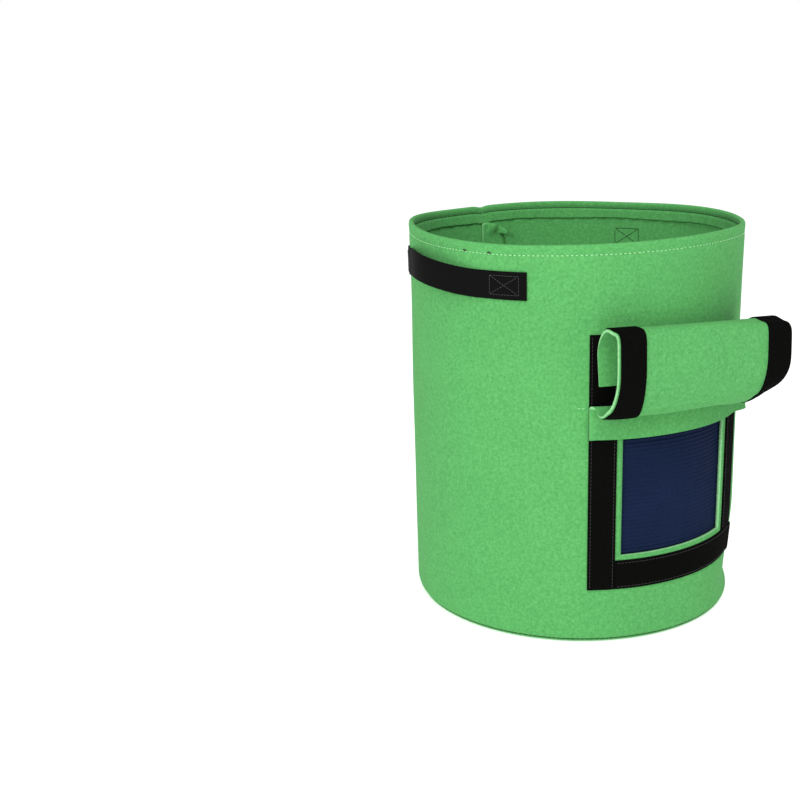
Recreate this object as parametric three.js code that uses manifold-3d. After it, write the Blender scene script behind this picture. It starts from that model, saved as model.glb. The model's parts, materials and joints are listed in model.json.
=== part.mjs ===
// Fabric grow bag with a roll-up window flap. Millimetres, +Z up.
// The origin is the centre of the base on the floor and the window faces -Y.
// Angles round the bag run from the window, 0, towards +X, 90 degrees.
import * as THREE from 'three';
import * as BufferGeometryUtils from 'three/addons/utils/BufferGeometryUtils.js';
import Module from 'manifold-3d';

const wasm = await Module();
wasm.setup();

// Driving dimensions
const BAG_RADIUS = 150;
const BAG_HEIGHT = 350;
const FELT = 3;
const BASE_ROUNDING = 10;
const GAP = 0.3;
const TAPE = 1.2;
const TAPE_WIDTH = 24;
const STRIP_FELT = 2.5;

const HEM_DEPTH = 16.5;
const SEAM_BAND_ANGLE = 9.8;
const BASE_ALLOWANCE = 14;

const WINDOW_HALF_ANGLE = 22.4;
const WINDOW_BOTTOM = 81;
const WINDOW_TOP = 205;
const PANEL_MARGIN = 10;
const PANEL_FELT = 2.5;

const WINDOW_BORDER = 5.35;
const WINDOW_SILL = 4;
const FRAME_TOP_LEFT = 275;
const FRAME_TOP_RIGHT = 262;
const BOTTOM_TAPE_WIDTH = 26;
const TAPE_OVERRUN_ANGLE = 0.7;

const FLAP_SEAM_HEIGHT = 213;
const SEAM_ALLOWANCE = 26;
const FLAP_INSET = 1.58;
const FLAP_YAW = 6;
const FLAP_STANDOFF = 1.2;
const HINGE_SETBACK = 1.7;
const HOOK_END_SETBACK = 0.4;
// Each row's angle from hanging straight down when rolled up, and its length.
const FLAP_ROWS = [
  { angle: 70, length: 14 },
  { angle: 168, length: 32 },
  { angle: 182, length: 45 },
  { angle: 262, length: 9 },
  { angle: 288, length: 10 },
  { angle: 366, length: 46 },
];

const HANDLE_DROP = 35;
const WEBBING_WIDTH = 24;
const WEBBING = 1.5;
const HANDLE_HALF_ANGLE = 36.9;
const STITCHED_ANGLE = 12.9;
const HANDLE_SLACK = 9;

// Materials
const feltGreen = () => new THREE.MeshStandardMaterial({ color: 0x5fc468, roughness: 0.95, metalness: 0 });
const tapeBlack = () => new THREE.MeshStandardMaterial({ color: 0x0d0d0d, roughness: 0.85, metalness: 0 });
const webbingBlack = () => new THREE.MeshStandardMaterial({ color: 0x111311, roughness: 0.7, metalness: 0 });
const panelNavy = () => new THREE.MeshStandardMaterial({ color: 0x16223f, roughness: 0.6, metalness: 0 });

const bag = new THREE.Group();

function place(parent, name, geometry, material) {
  const mesh = new THREE.Mesh(geometry, material);
  mesh.name = name;
  parent.add(mesh);
  return mesh;
}

const radians = THREE.MathUtils.degToRad;
const degrees = THREE.MathUtils.radToDeg;

// A curved sheet concentric with the bag, between two radii, two angles and two heights.
function curvedSheet(inner, outer, fromAngle, toAngle, bottom, top) {
  const start = radians(fromAngle - 90);
  const end = radians(toAngle - 90);
  const shape = new THREE.Shape();
  shape.absarc(0, 0, outer, start, end, false);
  shape.absarc(0, 0, inner, end, start, true);
  shape.closePath();
  const segments = Math.max(6, Math.ceil((toAngle - fromAngle) / 4));
  const options = { depth: top - bottom, bevelEnabled: false, curveSegments: segments };
  const sheet = new THREE.ExtrudeGeometry(shape, options);
  sheet.translate(0, 0, bottom);
  return sheet;
}

// A ring about the bag's axis from a closed outline of radius and height.
function ring(outline, segments = 96) {
  const geometry = new THREE.LatheGeometry(outline, segments);
  geometry.rotateX(Math.PI / 2);
  return geometry;
}

function rectangleRing(inner, outer, bottom, top) {
  const corners = [[inner, bottom], [outer, bottom], [outer, top], [inner, top], [inner, bottom]];
  return ring(corners.map(([radius, height]) => new THREE.Vector2(radius, height)));
}

function toManifold(geometry) {
  const bare = geometry.clone();
  bare.deleteAttribute('normal');
  bare.deleteAttribute('uv');
  const merged = BufferGeometryUtils.mergeVertices(bare, 1e-4);
  const mesh = new wasm.Mesh({
    numProp: 3,
    vertProperties: new Float32Array(merged.attributes.position.array),
    triVerts: new Uint32Array(merged.index.array),
  });
  return new wasm.Manifold(mesh);
}

function fromManifold(solid) {
  const mesh = solid.getMesh();
  const geometry = new THREE.BufferGeometry();
  geometry.setAttribute('position', new THREE.BufferAttribute(mesh.vertProperties, 3));
  geometry.setIndex(new THREE.BufferAttribute(mesh.triVerts, 1));
  geometry.computeVertexNormals();
  return geometry;
}

// Side wall: one felt sheet with a rounded lower edge and a window cut through it
const wallInner = BAG_RADIUS - FELT;

function wallOutline() {
  const outline = [];
  const cornerRadius = BAG_RADIUS - BASE_ROUNDING;
  const steps = 6;
  for (let i = 0; i <= steps; i += 1) {
    const turn = (i / steps) * (Math.PI / 2);
    const reach = BASE_ROUNDING;
    const radius = cornerRadius + reach * Math.sin(turn);
    outline.push(new THREE.Vector2(radius, reach * (1 - Math.cos(turn))));
  }
  outline.push(new THREE.Vector2(BAG_RADIUS, BAG_HEIGHT));
  outline.push(new THREE.Vector2(wallInner, BAG_HEIGHT));
  for (let i = steps; i >= 0; i -= 1) {
    const turn = (i / steps) * (Math.PI / 2);
    const reach = BASE_ROUNDING - FELT;
    const radius = cornerRadius + reach * Math.sin(turn);
    outline.push(new THREE.Vector2(radius, FELT + reach * (1 - Math.cos(turn))));
  }
  outline.push(outline[0].clone());
  return outline;
}

function wallPanel() {
  const cutter = curvedSheet(
    wallInner - FELT, BAG_RADIUS + FELT, -WINDOW_HALF_ANGLE, WINDOW_HALF_ANGLE, WINDOW_BOTTOM, WINDOW_TOP);
  return fromManifold(toManifold(ring(wallOutline())).subtract(toManifold(cutter)));
}

place(bag, 'side_wall', wallPanel(), feltGreen());

// Base: a felt disc inside the wall's turned-in lower edge, with its sewn allowance above it
const baseRadius = BAG_RADIUS - BASE_ROUNDING - GAP;
const baseDisc = new THREE.CylinderGeometry(baseRadius, baseRadius, FELT, 96);
baseDisc.rotateX(Math.PI / 2);
baseDisc.translate(0, 0, FELT / 2);
place(bag, 'base_disc', baseDisc, feltGreen());
const allowanceBottom = FELT + GAP;
place(bag, 'base_seam_allowance', rectangleRing(
  baseRadius - BASE_ALLOWANCE, baseRadius, allowanceBottom, allowanceBottom + STRIP_FELT), feltGreen());

// Rim hem, folded inwards
const liningOuter = wallInner - GAP;
const liningInner = liningOuter - STRIP_FELT;
place(bag, 'rim_hem', rectangleRing(
  liningInner, liningOuter, BAG_HEIGHT - HEM_DEPTH, BAG_HEIGHT), feltGreen());

// Side seam: the lapped allowance inside the back of the wall
place(bag, 'side_seam_allowance', curvedSheet(
  liningInner, liningOuter, 180 - SEAM_BAND_ANGLE, 180,
  BASE_ROUNDING + GAP, BAG_HEIGHT - HEM_DEPTH - GAP), feltGreen());

// Window panel behind the opening
const panelMarginAngle = degrees(PANEL_MARGIN / liningOuter);
const panelHalfAngle = WINDOW_HALF_ANGLE + panelMarginAngle;
place(bag, 'window_panel', curvedSheet(
  liningOuter - PANEL_FELT, liningOuter, -panelHalfAngle, panelHalfAngle,
  WINDOW_BOTTOM - PANEL_MARGIN, WINDOW_TOP + PANEL_MARGIN), panelNavy());

// Loop tapes sewn round three sides of the window
const tapeInner = BAG_RADIUS + GAP;
const tapeOuter = tapeInner + TAPE;
const tapeAngle = degrees(TAPE_WIDTH / tapeOuter);
const gapAngle = degrees(GAP / tapeOuter);
const frameHalfAngle = WINDOW_HALF_ANGLE + degrees(WINDOW_BORDER / tapeOuter) + tapeAngle;
const bottomTapeTop = WINDOW_BOTTOM - WINDOW_SILL;
const frameBottom = bottomTapeTop - BOTTOM_TAPE_WIDTH;
place(bag, 'loop_tape_left', curvedSheet(
  tapeInner, tapeOuter, -frameHalfAngle, -frameHalfAngle + tapeAngle, frameBottom, FRAME_TOP_LEFT), tapeBlack());
place(bag, 'loop_tape_right', curvedSheet(
  tapeInner, tapeOuter, frameHalfAngle - tapeAngle, frameHalfAngle,
  bottomTapeTop + GAP, FRAME_TOP_RIGHT), tapeBlack());
place(bag, 'loop_tape_bottom', curvedSheet(
  tapeInner, tapeOuter, -frameHalfAngle + tapeAngle + gapAngle, frameHalfAngle + TAPE_OVERRUN_ANGLE,
  frameBottom, bottomTapeTop), tapeBlack());

// Flap seam allowance, hanging below the seam over the tops of the tapes
const allowanceInner = tapeOuter + GAP;
const allowanceOuter = allowanceInner + STRIP_FELT;
place(bag, 'flap_seam_allowance', curvedSheet(
  allowanceInner, allowanceOuter, -frameHalfAngle, frameHalfAngle,
  FLAP_SEAM_HEIGHT - SEAM_ALLOWANCE, FLAP_SEAM_HEIGHT - GAP), feltGreen());

// Flap: a chain of felt rows that rolls up and outwards from the seam. The felt's middle
// lies on the hinge lines, and the hook tapes are on the side that closes onto the bag.
// The hinge lines are yawed about the bag's axis, and the offset centres them on the window.
const flapRadius = allowanceOuter + FLAP_STANDOFF + STRIP_FELT / 2;
const flapOffset = flapRadius * Math.tan(radians(FLAP_YAW));
const flapHalfWidth = radians(frameHalfAngle) * tapeOuter - FLAP_INSET;
const hookNear = STRIP_FELT / 2 + GAP;
const hookFar = hookNear + TAPE;

function flatStrip(fromX, toX, nearY, farY, length, setback) {
  const height = length - 2 * setback;
  const strip = new THREE.BoxGeometry(toX - fromX, farY - nearY, height);
  strip.translate((fromX + toX) / 2, (nearY + farY) / 2, -length / 2);
  return strip;
}

function flatRow(group, number, length) {
  place(group, `flap_row_${number}`, flatStrip(
    -flapHalfWidth, flapHalfWidth, -STRIP_FELT / 2, STRIP_FELT / 2, length, HINGE_SETBACK), feltGreen());
  for (const [side, from, to] of [
    ['left', -flapHalfWidth, -flapHalfWidth + TAPE_WIDTH],
    ['right', flapHalfWidth - TAPE_WIDTH, flapHalfWidth],
  ]) {
    place(group, `hook_tape_${side}_${number}`, flatStrip(
      from, to, hookNear, hookFar, length, HOOK_END_SETBACK), tapeBlack());
  }
}

// The last row is curved about the bag's axis, so it lies on the bag both rolled up and closed.
function tailRow(group, number, length) {
  const tail = new THREE.Group();
  tail.position.set(-flapOffset, flapRadius, 0);
  group.add(tail);
  const halfAngle = degrees(flapHalfWidth / flapRadius);
  const from = FLAP_YAW - halfAngle;
  const to = FLAP_YAW + halfAngle;
  const tapeTurn = degrees(TAPE_WIDTH / flapRadius);
  const tailTop = -HINGE_SETBACK;
  const tapeTop = -length + TAPE_WIDTH;
  place(tail, `flap_row_${number}`, curvedSheet(
    flapRadius - STRIP_FELT / 2, flapRadius + STRIP_FELT / 2, from, to, -length, tailTop), feltGreen());
  const hookOuter = flapRadius - hookNear;
  const hookInner = flapRadius - hookFar;
  place(tail, `hook_tape_left_${number}`, curvedSheet(
    hookInner, hookOuter, from, from + tapeTurn, -length, tailTop), tapeBlack());
  place(tail, `hook_tape_right_${number}`, curvedSheet(
    hookInner, hookOuter, to - tapeTurn, to, -length, tailTop), tapeBlack());
  place(tail, 'hook_tape_end', curvedSheet(
    hookInner, hookOuter, from + tapeTurn + gapAngle, to - tapeTurn - gapAngle, -length, tapeTop), tapeBlack());
}

function flapChain() {
  const root = new THREE.Group();
  root.rotation.z = -radians(FLAP_YAW);
  bag.add(root);
  let group = new THREE.Group();
  group.position.set(flapOffset, -flapRadius, FLAP_SEAM_HEIGHT);
  root.add(group);
  let previous = 0;
  FLAP_ROWS.forEach(({ angle, length }, index) => {
    group.rotation.x = -radians(angle - previous);
    if (index < FLAP_ROWS.length - 1) {
      flatRow(group, index + 1, length);
    } else {
      tailRow(group, index + 1, length);
    }
    previous = angle;
    const next = new THREE.Group();
    next.position.z = -length;
    group.add(next);
    group = next;
  });
}
flapChain();

// Handles: a webbing strap on each side, sewn down at both ends with a free span between them
const strapInner = BAG_RADIUS + GAP;
const handleTop = BAG_HEIGHT - HANDLE_DROP + WEBBING_WIDTH / 2;
const handleBottom = handleTop - WEBBING_WIDTH;
const spanHalfAngle = HANDLE_HALF_ANGLE - STITCHED_ANGLE;

function strapSpan(centreAngle) {
  const limit = spanHalfAngle - degrees(GAP / strapInner);
  const steps = 24;
  const point = (step, thickness) => {
    const turn = -limit + (2 * limit * step) / steps;
    const bow = HANDLE_SLACK * Math.cos((Math.PI / 2) * (turn / spanHalfAngle)) ** 2;
    const radius = strapInner + thickness + bow;
    const angle = radians(centreAngle + turn - 90);
    return new THREE.Vector2(radius * Math.cos(angle), radius * Math.sin(angle));
  };
  const outline = [];
  for (let step = 0; step <= steps; step += 1) outline.push(point(step, WEBBING));
  for (let step = steps; step >= 0; step -= 1) outline.push(point(step, 0));
  const options = { depth: WEBBING_WIDTH, bevelEnabled: false };
  const span = new THREE.ExtrudeGeometry(new THREE.Shape(outline), options);
  span.translate(0, 0, handleBottom);
  return span;
}

for (const [side, centre, front] of [['left', -90, 1], ['right', 90, -1]]) {
  place(bag, `handle_${side}_strap`, strapSpan(centre), webbingBlack());
  for (const [end, direction] of [['front', front], ['back', -front]]) {
    const near = centre + direction * spanHalfAngle;
    const far = centre + direction * HANDLE_HALF_ANGLE;
    place(bag, `handle_${side}_${end}_end`, curvedSheet(
      strapInner, strapInner + WEBBING, Math.min(near, far), Math.max(near, far),
      handleBottom, handleTop), webbingBlack());
  }
}

export default bag;
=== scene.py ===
import json
import math
import random

import bpy
import numpy as np
from mathutils import Matrix, Vector


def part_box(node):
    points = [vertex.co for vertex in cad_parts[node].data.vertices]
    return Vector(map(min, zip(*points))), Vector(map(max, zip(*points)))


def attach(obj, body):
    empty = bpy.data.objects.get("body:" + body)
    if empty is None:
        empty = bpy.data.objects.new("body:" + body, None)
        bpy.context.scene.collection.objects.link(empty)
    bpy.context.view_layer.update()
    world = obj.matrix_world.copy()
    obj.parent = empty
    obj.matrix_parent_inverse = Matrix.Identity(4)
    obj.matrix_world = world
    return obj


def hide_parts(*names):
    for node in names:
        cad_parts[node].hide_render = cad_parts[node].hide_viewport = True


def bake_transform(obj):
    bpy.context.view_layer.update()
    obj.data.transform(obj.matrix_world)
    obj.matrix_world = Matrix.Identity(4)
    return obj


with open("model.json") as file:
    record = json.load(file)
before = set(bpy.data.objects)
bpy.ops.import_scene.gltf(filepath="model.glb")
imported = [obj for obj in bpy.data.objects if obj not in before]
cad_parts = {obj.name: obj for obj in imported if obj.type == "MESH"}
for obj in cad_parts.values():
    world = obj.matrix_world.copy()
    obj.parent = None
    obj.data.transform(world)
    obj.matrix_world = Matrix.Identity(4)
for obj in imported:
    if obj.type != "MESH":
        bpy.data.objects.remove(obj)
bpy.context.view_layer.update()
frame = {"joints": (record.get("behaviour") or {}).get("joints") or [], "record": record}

MM = 0.001
TAU = 2 * math.pi

# ---------------------------------------------------------------- sizes, in metres
BAG_RADIUS, _, BAG_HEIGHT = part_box("side_wall")[1]
FELT = 3 * MM
BASE_ROUNDING = 10 * MM
RIM_FOLD = 2.3 * MM

TAPE_THICK = 1.2 * MM
TAPE_LIFT = 0.3 * MM
TAPE_RADIUS = BAG_RADIUS + TAPE_LIFT + TAPE_THICK
TAPE_WIDTH = 24 * MM

LOOP_LOW, LOOP_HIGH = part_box("loop_tape_left")
RIGHT_LOW, RIGHT_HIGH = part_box("loop_tape_right")
BOTTOM_LOW, BOTTOM_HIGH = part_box("loop_tape_bottom")
STRIP_LOW, STRIP_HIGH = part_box("flap_seam_allowance")
PANEL_LOW, PANEL_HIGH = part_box("window_panel")
PANEL_MARGIN = 10 * MM
LINING_RADIUS = BAG_RADIUS - FELT - TAPE_LIFT

FRAME_ANGLE = math.asin(-LOOP_LOW.x / TAPE_RADIUS)
OVERRUN_ANGLE = math.asin(BOTTOM_HIGH.x / TAPE_RADIUS)
TAPE_ANGLE = TAPE_WIDTH / TAPE_RADIUS
WINDOW_ANGLE = math.asin(PANEL_HIGH.x / LINING_RADIUS) - PANEL_MARGIN / LINING_RADIUS
WINDOW_BOTTOM = PANEL_LOW.z + PANEL_MARGIN
WINDOW_TOP = PANEL_HIGH.z - PANEL_MARGIN
SEAM_HEIGHT = STRIP_HIGH.z + TAPE_LIFT

HEM_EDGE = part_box("rim_hem")[0].z
SIDE_SEAM_ANGLE = math.pi
SEAM_BAND_ANGLE = math.radians(9.8)
BASE_ALLOWANCE = 14 * MM
PANEL_PITCH = 3.7 * MM

STRAP_LOW, STRAP_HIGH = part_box("handle_left_strap")
HANDLE_ANGLE = math.radians(36.9)
HANDLE_SPAN_ANGLE = math.radians(24)
HANDLE_SLACK = 9 * MM
HANDLE_RISE = 6.5 * MM
RISE_BEHIND, RISE_REACH = math.radians(8), math.radians(29)
BOX_FROM, BOX_TO = math.radians(24.6), math.radians(34.4)
BOX_ABOVE, BOX_BELOW = 4.2 * MM, 3.6 * MM
WEBBING_THICK = 1.5 * MM

STRIP_FELT = 2.5 * MM

# The gap that the CAD keeps between two cloths sewn together.
SEWN_GAP = 0.3 * MM
RIM_STITCH_DROP = 9 * MM
HEM_STITCH_DROP = 6.5 * MM
FLAP_END_ROW = 46 * MM

# ---------------------------------------------------------------- the studio, matched to the photo
CAMERA_LENS = 56.85
CAMERA_PLACE = (-0.7293, -0.9071, 0.4980)
CAMERA_FORWARD = (0.4934, 0.8291, -0.2627)
CAMERA_ROLL = math.radians(-1.652)
SKY_LIGHT = 0.62
FLOOR_GLOW = 0.45
FLOOR_REACH = 60.0
KEY_PLACE, KEY_TARGET, KEY_SIZE, KEY_POWER = (-2.0, -0.95, 1.2), (0, 0, 0.18), 1.0, 25
TOP_PLACE, TOP_TARGET, TOP_SIZE, TOP_POWER = (-0.5, -1.2, 2.0), (0, 0.1, 0.3), 0.8, 24


# ---------------------------------------------------------------- materials
def new_material(name):
    material = bpy.data.materials.new(name)
    material.use_nodes = True
    nodes = material.node_tree.nodes
    shader = nodes["Principled BSDF"]
    return material, nodes, material.node_tree.links, shader


def object_noise(nodes, links, scale, detail=4.0, stretch=None, roughness=0.55):
    place = nodes.new("ShaderNodeTexCoord")
    noise = nodes.new("ShaderNodeTexNoise")
    noise.inputs["Scale"].default_value = scale
    noise.inputs["Detail"].default_value = detail
    noise.inputs["Roughness"].default_value = roughness
    if stretch is None:
        links.new(place.outputs["Object"], noise.inputs["Vector"])
    else:
        mapping = nodes.new("ShaderNodeMapping")
        mapping.inputs["Scale"].default_value = stretch
        links.new(place.outputs["Object"], mapping.inputs["Vector"])
        links.new(mapping.outputs["Vector"], noise.inputs["Vector"])
    return noise


def ramp(nodes, links, source, stops):
    node = nodes.new("ShaderNodeValToRGB")
    elements = node.color_ramp.elements
    while len(elements) < len(stops):
        elements.new(0.5)
    for element, (position, colour) in zip(elements, stops):
        element.position = position
        element.color = (*colour, 1)
    links.new(source, node.inputs["Fac"])
    return node


def mix(nodes, links, mode, factor, first, second):
    node = nodes.new("ShaderNodeMix")
    node.data_type = "RGBA"
    node.blend_type = mode
    node.inputs["Factor"].default_value = factor
    links.new(first, node.inputs["A"])
    links.new(second, node.inputs["B"])
    return node.outputs["Result"]


def bump(nodes, links, height, strength, distance, under=None):
    node = nodes.new("ShaderNodeBump")
    node.inputs["Strength"].default_value = strength
    node.inputs["Distance"].default_value = distance
    links.new(height, node.inputs["Height"])
    if under is not None:
        links.new(under, node.inputs["Normal"])
    return node.outputs["Normal"]


def felt_material(name, dark, middle, light):
    """Needle felt: matted fibres, faint mottling and a soft nap."""
    material, nodes, links, shader = new_material(name)
    cloud = object_noise(nodes, links, 16, 3)
    mottle = object_noise(nodes, links, 420, 3, roughness=0.65)
    fibres = object_noise(nodes, links, 1300, 4, stretch=(1, 1, 0.6), roughness=0.7)
    base = ramp(nodes, links, mottle.outputs["Fac"], [(0.28, dark), (0.5, middle), (0.72, light)])
    shade = ramp(nodes, links, cloud.outputs["Fac"], [(0.3, (0.93, 0.94, 0.93)), (0.7, (1, 1, 1))])
    tint = ramp(nodes, links, fibres.outputs["Fac"], [(0.32, (0.80, 0.83, 0.80)), (0.64, (1.0, 1.0, 1.0))])
    colour = mix(nodes, links, "MULTIPLY", 1.0, base.outputs["Color"], shade.outputs["Color"])
    colour = mix(nodes, links, "MULTIPLY", 0.8, colour, tint.outputs["Color"])
    links.new(colour, shader.inputs["Base Color"])
    shader.inputs["Roughness"].default_value = 0.95
    shader.inputs["Specular IOR Level"].default_value = 0.06
    shader.inputs["Sheen Weight"].default_value = 0.08
    shader.inputs["Sheen Roughness"].default_value = 0.6
    shader.inputs["Sheen Tint"].default_value = (0.6, 1.0, 0.6, 1)
    soft = bump(nodes, links, mottle.outputs["Fac"], 0.22, 0.0006)
    links.new(bump(nodes, links, fibres.outputs["Fac"], 0.5, 0.0003, soft), shader.inputs["Normal"])
    return material


def tape_material():
    """Hook-and-loop tape: a dense black pile with faint rows."""
    material, nodes, links, shader = new_material("hook_and_loop")
    pile = object_noise(nodes, links, 1500, 4, roughness=0.8)
    rows = object_noise(nodes, links, 420, 2, stretch=(1, 1, 0.3))
    colour = ramp(nodes, links, pile.outputs["Fac"], [
        (0.3, (0.0012, 0.0012, 0.0011)), (0.55, (0.0028, 0.0028, 0.0026)), (0.78, (0.010, 0.010, 0.009))])
    links.new(colour.outputs["Color"], shader.inputs["Base Color"])
    shader.inputs["Roughness"].default_value = 0.95
    shader.inputs["Specular IOR Level"].default_value = 0.02
    low = bump(nodes, links, rows.outputs["Fac"], 0.25, 0.0005)
    links.new(bump(nodes, links, pile.outputs["Fac"], 0.8, 0.0005, low), shader.inputs["Normal"])
    return material


def webbing_material():
    """Woven strap: fine cross ribs and a slight sheen."""
    material, nodes, links, shader = new_material("webbing")
    place = nodes.new("ShaderNodeTexCoord")
    ribs = nodes.new("ShaderNodeTexWave")
    ribs.wave_type = "BANDS"
    ribs.bands_direction = "Z"
    ribs.inputs["Scale"].default_value = 220
    ribs.inputs["Distortion"].default_value = 0.6
    ribs.inputs["Detail"].default_value = 2
    links.new(place.outputs["Object"], ribs.inputs["Vector"])
    yarn = object_noise(nodes, links, 1100, 3, stretch=(1, 1, 2.2))
    colour = ramp(nodes, links, yarn.outputs["Fac"], [
        (0.3, (0.0011, 0.0012, 0.0011)), (0.75, (0.0046, 0.0050, 0.0044))])
    links.new(colour.outputs["Color"], shader.inputs["Base Color"])
    shader.inputs["Roughness"].default_value = 0.8
    shader.inputs["Specular IOR Level"].default_value = 0.05
    low = bump(nodes, links, ribs.outputs["Fac"], 0.3, 0.0004)
    links.new(bump(nodes, links, yarn.outputs["Fac"], 0.4, 0.0002, low), shader.inputs["Normal"])
    return material


def panel_material():
    """Navy woven sheet with a satin face; its ribs are real geometry."""
    material, nodes, links, shader = new_material("navy_panel")
    weave = object_noise(nodes, links, 700, 3, stretch=(0.5, 0.5, 2))
    cloud = object_noise(nodes, links, 14, 2)
    base = ramp(nodes, links, cloud.outputs["Fac"], [
        (0.3, (0.0070, 0.0140, 0.042)), (0.7, (0.0088, 0.0170, 0.051))])
    tint = ramp(nodes, links, weave.outputs["Fac"], [(0.3, (0.7, 0.7, 0.72)), (0.7, (1, 1, 1))])
    colour = mix(nodes, links, "MULTIPLY", 1.0, base.outputs["Color"], tint.outputs["Color"])
    links.new(colour, shader.inputs["Base Color"])
    shader.inputs["Roughness"].default_value = 0.7
    shader.inputs["Specular IOR Level"].default_value = 0.03
    links.new(bump(nodes, links, weave.outputs["Fac"], 0.3, 0.0003), shader.inputs["Normal"])
    return material


def thread_material(name, dark, light):
    """Spun sewing thread with a fine twist."""
    material, nodes, links, shader = new_material(name)
    twist = object_noise(nodes, links, 2400, 2)
    colour = ramp(nodes, links, twist.outputs["Fac"], [(0.35, dark), (0.65, light)])
    links.new(colour.outputs["Color"], shader.inputs["Base Color"])
    shader.inputs["Roughness"].default_value = 0.6
    links.new(bump(nodes, links, twist.outputs["Fac"], 0.4, 0.0002), shader.inputs["Normal"])
    return material


FELT_GREEN = felt_material("green_felt", (0.066, 0.286, 0.077), (0.088, 0.348, 0.099), (0.116, 0.418, 0.128))
# A paler copy of the green felt for every cut edge: painted highlight where the edges catch the light.
CUT_EDGE_HIGHLIGHT = felt_material("felt_cut_edge_highlight", (0.18, 0.48, 0.19), (0.25, 0.57, 0.26), (0.34, 0.66, 0.34))
TAPE_BLACK = tape_material()
WEBBING_BLACK = webbing_material()
PANEL_NAVY = panel_material()
PALE_THREAD = thread_material("pale_thread", (0.22, 0.58, 0.23), (0.34, 0.70, 0.34))
DARK_THREAD = thread_material("dark_green_thread", (0.004, 0.045, 0.010), (0.012, 0.085, 0.020))
GREY_THREAD = thread_material("grey_thread", (0.006, 0.008, 0.007), (0.016, 0.019, 0.017))
BLACK_THREAD = thread_material("black_thread", (0.004, 0.004, 0.004), (0.02, 0.02, 0.02))
# Very dark green for the needle holes: painted shade inside the holes, made with the thread material.
HOLE_SHADE = thread_material("painted_hole_shade", (0.003, 0.014, 0.004), (0.008, 0.03, 0.010))


# ---------------------------------------------------------------- the bag's surface
def smooth_step(value):
    value = np.clip(value, 0.0, 1.0)
    return value * value * (3 - 2 * value)


def wander(angle, height):
    """How far the soft wall leans out of its circle, in metres, at an angle and height."""
    up = np.clip(height / BAG_HEIGHT, 0, 1)
    slow = 1.2 * np.sin(2 * angle + 0.6) + 1.0 * np.sin(3 * angle - 1.1) + 0.5 * np.sin(5 * angle + 0.4)
    fine = 0.35 * np.sin(7 * angle + 9 * up) + 0.25 * np.sin(11 * angle - 14 * up + 2)
    lean = slow * (0.15 + 0.85 * up ** 3) + fine * (0.4 + 0.6 * up)
    around = (angle + math.pi) % TAU - math.pi
    near_window = np.exp(-(around / 0.75) ** 2)
    low = smooth_step(height / (18 * MM)) * smooth_step((95 * MM - height) / (80 * MM))
    dent = -6.5 * MM * low * np.exp(-((around - 0.85) / 0.38) ** 2)
    return lean * MM * (1 - 0.85 * near_window) - 0.6 * MM * (1 - up) + dent


def rim_rise(angle, height):
    """How far the rim's edge wanders up or down."""
    near_rim = np.clip(height / BAG_HEIGHT, 0, 1) ** 12
    around = (angle + math.pi) % TAU - math.pi
    swell = 3.0 * np.exp(-((around + 2.25) / 0.5) ** 2) - 2.6 * np.exp(-((around + 1.05) / 0.5) ** 2)
    swell = swell + 0.4 * np.sin(5 * angle + 0.4)
    behind = math.pi - np.abs(around)
    notch = -1.6 * np.exp(-(behind / 0.035) ** 2)
    return near_rim * (swell + notch) * MM


def on_bag(angle, height, out):
    """Points at an angle round the bag and a height, out metres outside its true radius."""
    angle, height, out = np.broadcast_arrays(
        np.asarray(angle, float), np.asarray(height, float), np.asarray(out, float))
    radius = BAG_RADIUS + out + wander(angle, height)
    rise = rim_rise(angle, height)
    return np.stack([radius * np.sin(angle), -radius * np.cos(angle), height + rise], axis=-1)


# ---------------------------------------------------------------- mesh building
def make_object(name, points, faces, materials, face_slots=None, smooth=True):
    mesh = bpy.data.meshes.new(name)
    mesh.from_pydata([tuple(p) for p in points], [], faces)
    for material in materials:
        mesh.materials.append(material)
    if face_slots is not None:
        mesh.polygons.foreach_set("material_index", face_slots)
    mesh.polygons.foreach_set("use_smooth", [smooth] * len(faces))
    mesh.update()
    thing = bpy.data.objects.new(name, mesh)
    bpy.context.scene.collection.objects.link(thing)
    return thing


def sharpen(thing, degrees=50):
    """Keeps edges sharper than this from being smoothed over."""
    mesh = thing.data
    limit = math.radians(degrees)
    normals = [p.normal for p in mesh.polygons]
    sides = {}
    for polygon in mesh.polygons:
        for key in polygon.edge_keys:
            sides.setdefault(key, []).append(polygon.index)
    flags = []
    for edge in mesh.edges:
        pair = sides.get(tuple(sorted(edge.vertices)), ())
        flags.append(len(pair) == 2 and normals[pair[0]].angle(normals[pair[1]], 0) > limit)
    attribute = mesh.attributes.new("sharp_edge", "BOOLEAN", "EDGE")
    attribute.data.foreach_set("value", flags)
    return thing


def thick_sheet(name, outer, inner, materials, mask=None, wrap=False):
    """A closed sheet between two grids of points. The grid's cells where mask is False are left
    open, and the walls round the sheet take the second material."""
    rows, columns = outer.shape[:2]
    count = rows * columns
    cells_i = rows if wrap else rows - 1
    if mask is None:
        mask = np.ones((cells_i, columns - 1), bool)
    points = np.concatenate([outer.reshape(-1, 3), inner.reshape(-1, 3)])
    index = lambda i, j: (i % rows) * columns + j
    faces, slots = [], []
    filled = lambda i, j: 0 <= j < columns - 1 and (wrap or 0 <= i < cells_i) and mask[i % cells_i, j]
    for i in range(cells_i):
        for j in range(columns - 1):
            if not mask[i, j]:
                continue
            a, b, c, d = index(i, j), index(i + 1, j), index(i + 1, j + 1), index(i, j + 1)
            faces.append((a, b, c, d))
            faces.append((d + count, c + count, b + count, a + count))
            slots += [0, 0]
            for near, start, end in (
                (filled(i, j - 1), a, b), (filled(i + 1, j), b, c),
                (filled(i, j + 1), c, d), (filled(i - 1, j), d, a),
            ):
                if not near:
                    faces.append((end, start, start + count, end + count))
                    slots.append(min(1, len(materials) - 1))
    used = sorted({v for face in faces for v in face})
    rename = {old: new for new, old in enumerate(used)}
    faces = [tuple(rename[v] for v in face) for face in faces]
    return make_object(name, points[used], faces, materials, slots), np.array(used)


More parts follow.
